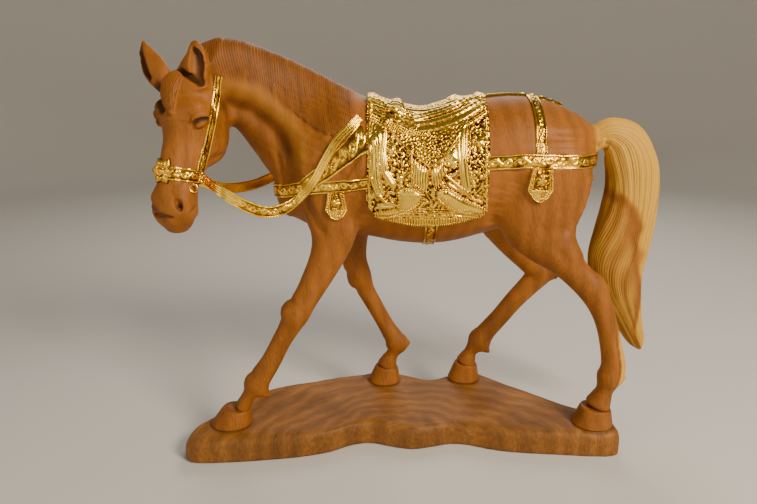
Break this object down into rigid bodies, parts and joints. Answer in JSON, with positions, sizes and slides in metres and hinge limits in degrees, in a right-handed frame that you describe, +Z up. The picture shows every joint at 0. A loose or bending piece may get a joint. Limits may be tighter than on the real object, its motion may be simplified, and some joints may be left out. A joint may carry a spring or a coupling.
{
  "type": "carved horse",
  "caption": "Carved wooden walking horse with turned head and gilt relief harness, standing on a shaped carved wooden slab",
  "frame": {"origin": "On the flat underside of the slab, below the horse's spine and halfway along the slab", "axes": "+Z up; the horse walks towards -X and its left side faces -Y"},
  "size_m": [0.5955, 0.1784, 0.488],
  "materials": {
    "slab_wood": "smooth sanded wood with open swirling grain, satin oiled",
    "carved_wood": "fine carved wood with visible grain, satin waxed, pale sapwood on the upper tail",
    "gilt_brass": "bright gilt relief with darker recesses"
  },
  "bodies": {
    "root": {"base": "slab_wood", "horse": "carved_wood", "saddle": "gilt_brass", "bridle": "gilt_brass", "breast_harness": "gilt_brass", "breeching": "gilt_brass", "left_rein": "gilt_brass", "right_rein": "gilt_brass"}
  },
  "joints": []
}
